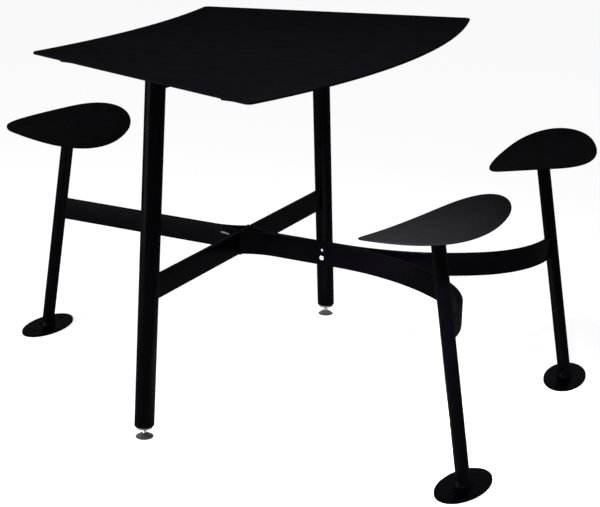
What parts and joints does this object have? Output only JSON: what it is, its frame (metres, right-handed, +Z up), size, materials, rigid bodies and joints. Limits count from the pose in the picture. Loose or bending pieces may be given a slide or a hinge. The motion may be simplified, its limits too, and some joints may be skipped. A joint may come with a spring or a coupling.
{
  "type": "table with attached swivel seats",
  "caption": "Wedge-shaped black steel table on two leaning legs, tied by bent flat bars to leaning posts with curved leaf-shaped seats that swivel.",
  "frame": {"origin": "on the floor, under the middle of the whole footprint", "axes": "+X from the single seat toward the pair of seats, +Y from the front leg to the rear leg, +Z up"},
  "size_m": [1.3112, 1.064, 0.762],
  "materials": {
    "top_coat": "satin black powder coat, fine texture",
    "seat_coat": "satin black powder coat, fine texture",
    "frame_coat": "satin black powder coat",
    "zinc_steel": "bright zinc plate",
    "stainless": "bright stainless",
    "hub_steel": "black oxide steel",
    "grey_nylon": "matt grey nylon",
    "plug_nylon": "matt dark grey nylon",
    "bush_nylon": "black nylon",
    "tag_metal": "plain grey tag"
  },
  "bodies": {
    "table_frame": {"arm_bolt": "stainless", "arm_nut": "stainless", "arm_pin": "stainless", "blank_tag": "tag_metal", "centre_rail": "frame_coat", "front_arm": "frame_coat", "front_base_plate": "frame_coat", "front_leg": "frame_coat", "front_leg_plate": "frame_coat", "front_leg_plug": "plug_nylon", "front_lower_bush": "bush_nylon", "front_post": "frame_coat", "front_post_collar": "frame_coat", "front_thrust_washer": "bush_nylon", "front_upper_bush": "bush_nylon", "left_arm": "frame_coat", "left_arm_flare": "frame_coat", "left_base_plate": "frame_coat", "left_lower_bush": "bush_nylon", "left_post": "frame_coat", "left_post_collar": "frame_coat", "left_stiffener": "frame_coat", "left_thrust_washer": "bush_nylon", "left_upper_bush": "bush_nylon", "lower_leg_bar": "frame_coat", "rear_arm": "frame_coat", "rear_base_plate": "frame_coat", "rear_leg": "frame_coat", "rear_leg_plate": "frame_coat", "rear_leg_plug": "plug_nylon", "rear_lower_bush": "bush_nylon", "rear_post": "frame_coat", "rear_post_collar": "frame_coat", "rear_thrust_washer": "bush_nylon", "rear_upper_bush": "bush_nylon", "right_stiffener": "frame_coat", "stud_nuts": "zinc_steel", "table_studs": "zinc_steel", "tabletop": "top_coat"},
    "left_seat": {"left_seat_shell": "seat_coat", "left_seat_bracket": "frame_coat", "left_seat_hub": "hub_steel", "left_seat_screws": "zinc_steel", "left_retaining_ring": "zinc_steel"},
    "front_seat": {"front_seat_shell": "seat_coat", "front_seat_bracket": "frame_coat", "front_seat_hub": "hub_steel", "front_seat_screws": "zinc_steel", "front_retaining_ring": "zinc_steel"},
    "rear_seat": {"rear_seat_shell": "seat_coat", "rear_seat_bracket": "frame_coat", "rear_seat_hub": "hub_steel", "rear_seat_screws": "zinc_steel", "rear_retaining_ring": "zinc_steel"},
    "front_glide": {"front_glide_stem": "zinc_steel", "front_glide_pad": "grey_nylon"},
    "rear_glide": {"rear_glide_stem": "zinc_steel", "rear_glide_pad": "grey_nylon"}
  },
  "joints": [
    {"name": "left_seat_swivel", "type": "hinge", "parent": "table_frame", "child": "left_seat", "pos_m": [-0.52603, 0, 0.506], "axis": [0.1642, 0, 0.9864], "continuous": true},
    {"name": "front_seat_swivel", "type": "hinge", "parent": "table_frame", "child": "front_seat", "pos_m": [0.52665, -0.30236, 0.506], "axis": [-0.163, 0.02, 0.9864], "continuous": true},
    {"name": "rear_seat_swivel", "type": "hinge", "parent": "table_frame", "child": "rear_seat", "pos_m": [0.52665, 0.30236, 0.506], "axis": [-0.163, -0.02, 0.9864], "continuous": true},
    {"name": "front_glide_screw", "type": "slide", "parent": "table_frame", "child": "front_glide", "axis": [0, 0, -1], "range_m": [-0.003, 0.012]},
    {"name": "rear_glide_screw", "type": "slide", "parent": "table_frame", "child": "rear_glide", "axis": [0, 0, -1], "range_m": [-0.003, 0.012]}
  ]
}
